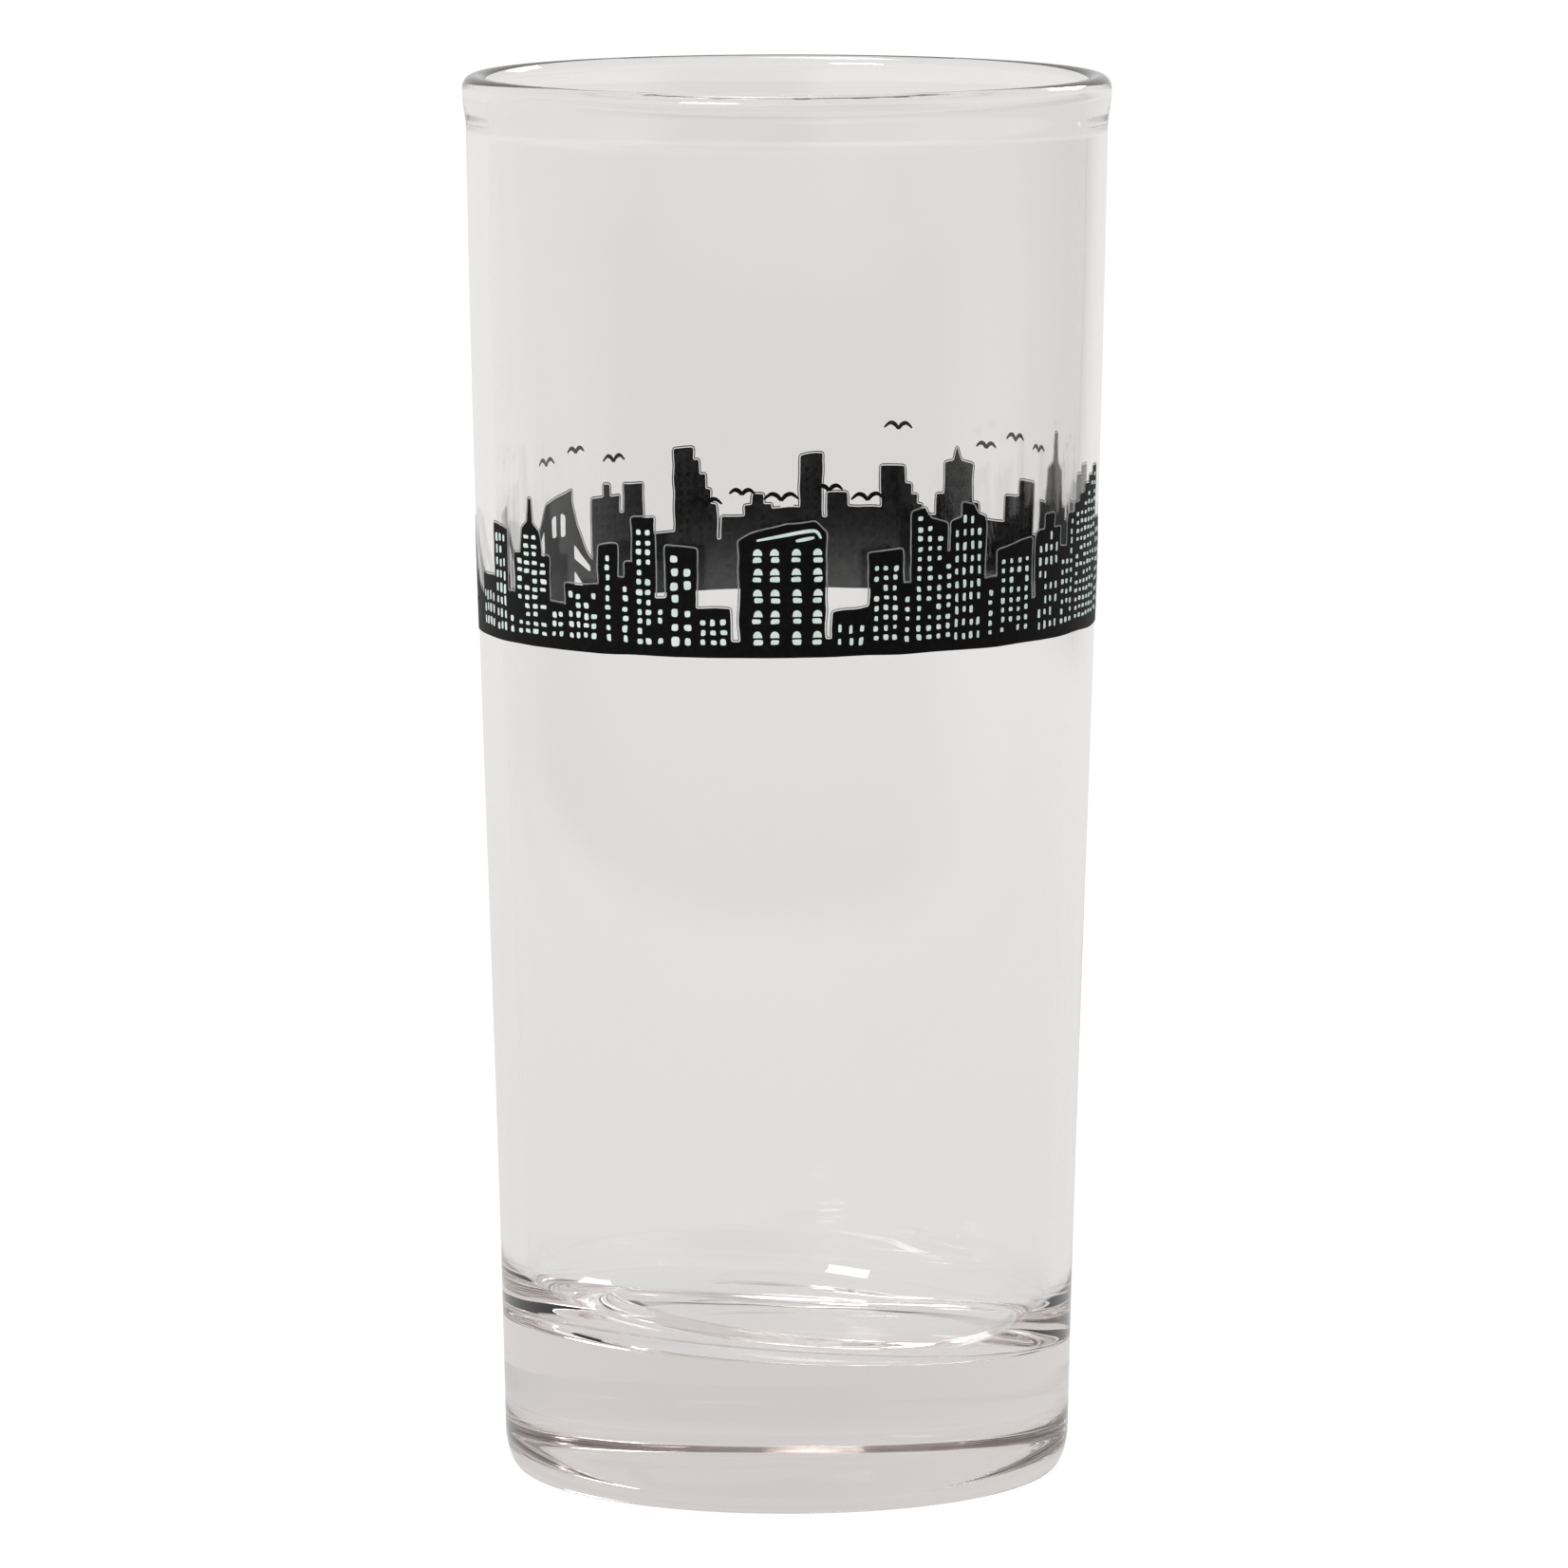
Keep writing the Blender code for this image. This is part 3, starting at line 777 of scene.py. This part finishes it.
def bird_strokes():
    strokes = []
    for angle, v, span in BIRDS:
        u, half, rise = angle * DEGREE, span / 2, span * 0.2
        for side in (-1, 1):
            line = [Vector((u + side * half * share, v + rise * lift)) for share, lift in WING]
            line = smooth_stroke(line, 6)
            strokes.append((line, swelling(len(line), 0.10, 0.20, 0.15, 0.85)))
    return strokes


def outline_points():
    """The roofline moved out by a small gap."""
    result = []
    for index in range(1, len(ROOFLINE) - 1):
        before, here, after = ROOFLINE[index - 1], ROOFLINE[index], ROOFLINE[index + 1]
        along = (after - before).normalized()
        result.append(here + Vector((-along.y, along.x)) * OUTLINE_GAP)
    return result


def nodes_like(*starts):
    return [node for node in NODES if node.startswith(starts)]


def make_windows():
    """The lit windows, and dark films under them: painted shade that darkens the windows where the print is
    seen from inside the glass.
    """
    pale = enamel_material("pale_enamel", PALE_STOPS, 900.0, 0.5, 0.25)
    deep = enamel_material("painted_shade_under_windows", PAINTED_PANE_SHADE_STOPS, 1500.0, 0.7, 0.05)
    rng = random.Random(11)
    panes = tower_panes(rng) + building_panes(rng)
    to_piece("lit_windows", loops_shape(panes), LIFT_PALE, [pale], nodes_like("window_"))
    # Painted shade: the windows' shapes again as dark films against the glass, so the windows look dark
    # from inside
    to_piece("window_films_of_painted_shade", loops_shape(panes), LIFT_PAINTED_PANE_SHADE, [deep], [])

    strokes = []
    for stroke in ROOF_STROKES:
        line = smooth_stroke([Vector((angle * DEGREE, v)) for angle, v in stroke], 7)
        strokes.append((line, swelling(len(line), 0.08, 0.16, 0.12, 0.76)))
    shape = stroke_shape(strokes)
    to_piece("roof_lights", shape, LIFT_PALE, [pale], nodes_like("roof_stroke"))


def make_print():
    black = enamel_material("black_enamel", BLACK_STOPS, 2600.0, 0.55, 0.07)
    behind = enamel_material("black_enamel_behind", BLACK_BEHIND_STOPS, 1300.0, 0.7, 0.05)
    make_skyline(black, behind)
    make_windows()

    birds = nodes_like("front_bird", "left_bird", "right_bird")
    to_piece("birds", stroke_shape(bird_strokes()), LIFT_BLACK, [black, behind], birds)

    grey = enamel_material("outline_enamel", GREY_STOPS, 1200.0, 0.6, 0.2)
    edge = outline_points()
    shape = stroke_shape([(edge, [OUTLINE_WIDTH] * len(edge))])
    to_piece("skyline_outline", shape, LIFT_OUTLINE, [grey], [])


# ------------------------------------------------------------------ stage, light and camera
# The room is pale, with a dim side where the photographer stands. Each edge is where the dimness starts and
# where it is full, as how far a direction points that way.
ROOM_DIM_WAY = (0.35, -0.90, 0.15)
ROOM_DIM_EDGE = (0.75, 0.97)
ROOM_GLOW = (0.785, 0.03)
ROOM_SEEN = 1.0
ROOM_COLOUR = (1.0, 0.995, 0.99, 1.0)

# The floor is dim on the same side, between these distances from the glass, and glows a little less near it
FLOOR_DIM_WAY = (0.50, -0.87, 0.0)
FLOOR_DIM_EDGE = (-0.85, 0.45)
FLOOR_DIM_STARTS = (0.35, 0.46)
FLOOR_DIM_ENDS = (1.40, 2.40)
FLOOR_GLOW_REACH = (0.05, 0.60)
FLOOR_GLOW = (0.71, 0.775)
FLOOR_SEEN = 0.99
FLOOR_GAP = 0.05 * MM


def make_floor():
    shape = bmesh.new()
    bmesh.ops.create_circle(shape, cap_ends=True, segments=96, radius=5.0)
    mesh = bpy.data.meshes.new("floor")
    shape.to_mesh(mesh)
    shape.free()
    floor = bpy.data.objects.new("floor", mesh)
    floor.location.z = -FLOOR_GAP
    bpy.context.scene.collection.objects.link(floor)
    made, tree, shader = new_material("pale_floor")
    shader.inputs["Base Color"].default_value = (0.04, 0.0398, 0.0396, 1.0)
    shader.inputs["Roughness"].default_value = 0.9
    shader.inputs["Specular IOR Level"].default_value = 0.1
    shader.inputs["Emission Color"].default_value = ROOM_COLOUR
    place = tree.nodes.new("ShaderNodeTexCoord")
    outward = vector_math(tree, "NORMALIZE", place.outputs["Object"])
    distance = vector_math(tree, "LENGTH", place.outputs["Object"]).outputs["Value"]
    way = towards(tree, outward.outputs["Vector"], FLOOR_DIM_WAY)
    dim = smooth_range(tree, way, FLOOR_DIM_EDGE, (0.0, 1.0))
    dim = product(tree, dim, smooth_range(tree, distance, FLOOR_DIM_STARTS, (0.0, 1.0)))
    dim = product(tree, dim, smooth_range(tree, distance, FLOOR_DIM_ENDS, (1.0, 0.0)))
    glow = smooth_range(tree, distance, FLOOR_GLOW_REACH, FLOOR_GLOW)
    lit = product(tree, glow, smooth_range(tree, dim, (0.0, 1.0), (1.0, 0.0)))
    tree.links.new(seen_and_lit(tree, FLOOR_SEEN, lit), shader.inputs["Emission Strength"])
    mesh.materials.append(made)


def vector_math(tree, operation, value):
    node = tree.nodes.new("ShaderNodeVectorMath")
    node.operation = operation
    tree.links.new(value, node.inputs[0])
    return node


def product(tree, one, other):
    node = tree.nodes.new("ShaderNodeMath")
    node.operation = "MULTIPLY"
    tree.links.new(one, node.inputs[0])
    tree.links.new(other, node.inputs[1])
    return node.outputs["Value"]


def towards(tree, value, way):
    """How far a direction points one way, from -1 to 1."""
    node = vector_math(tree, "DOT_PRODUCT", value)
    node.inputs[1].default_value = Vector(way).normalized()
    return node.outputs["Value"]


def smooth_range(tree, value, across, to):
    """A smooth step of value from across to to."""
    step = tree.nodes.new("ShaderNodeMapRange")
    step.interpolation_type = "SMOOTHSTEP"
    for name, number in zip(("From Min", "From Max", "To Min", "To Max"), (*across, *to)):
        step.inputs[name].default_value = number
    tree.links.new(value, step.inputs["Value"])
    return step.outputs["Result"]


def seen_and_lit(tree, seen, lit):
    """The backdrop's strength: seen for the camera itself, lit for all that reaches the object."""
    path = tree.nodes.new("ShaderNodeLightPath")
    choice = tree.nodes.new("ShaderNodeMix")
    tree.links.new(path.outputs["Is Camera Ray"], choice.inputs["Factor"])
    tree.links.new(lit, choice.inputs["A"])
    choice.inputs["B"].default_value = seen
    return choice.outputs["Result"]


def make_world():
    """A pale room with one dim side, where the photographer stands."""
    world = bpy.data.worlds.new("studio")
    bpy.context.scene.world = world
    world.use_nodes = True
    tree = world.node_tree
    background = tree.nodes["Background"]
    place = tree.nodes.new("ShaderNodeTexCoord")
    way = towards(tree, place.outputs["Generated"], ROOM_DIM_WAY)
    lit = smooth_range(tree, way, ROOM_DIM_EDGE, ROOM_GLOW)
    tree.links.new(seen_and_lit(tree, ROOM_SEEN, lit), background.inputs["Strength"])
    background.inputs["Color"].default_value = ROOM_COLOUR


def softbox(name, place, aim, width, height, power):
    data = bpy.data.lights.new(name, "AREA")
    data.shape = "RECTANGLE"
    data.size, data.size_y = width, height
    data.energy = power
    lamp = bpy.data.objects.new(name, data)
    lamp.location = place
    lamp.rotation_euler = (Vector(aim) - Vector(place)).to_track_quat("-Z", "Y").to_euler()
    bpy.context.scene.collection.objects.link(lamp)


def make_lights():
    softbox("overhead_softbox", (-0.12, 0.10, 0.95), (0.0, 0.0, 0.05), 0.40, 0.30, 2.2)
    softbox("key_softbox", (-0.45, -0.75, 0.75), (0.0, 0.0, 0.05), 0.35, 0.25, 3.4)
    softbox("back_softbox", (0.55, 0.75, 0.60), (0.0, 0.0, 0.05), 0.35, 0.25, 2.0)


def make_camera():
    data = bpy.data.cameras.new("camera")
    data.sensor_width = 36.0
    data.lens = 242.26
    camera = bpy.data.objects.new("camera", data)
    camera.location = (-0.000193, -0.71417, 0.14148)
    camera.rotation_euler = (math.radians(82.466), 0.0, 0.0)
    bpy.context.scene.collection.objects.link(camera)
    bpy.context.scene.camera = camera


def set_colour():
    scene = bpy.context.scene
    scene.view_settings.view_transform = "Standard"
    scene.cycles.max_bounces = 28
    scene.cycles.glossy_bounces = 16
    scene.cycles.transmission_bounces = 28


make_tumbler()
make_print()
make_floor()
make_world()
make_lights()
make_camera()
set_colour()
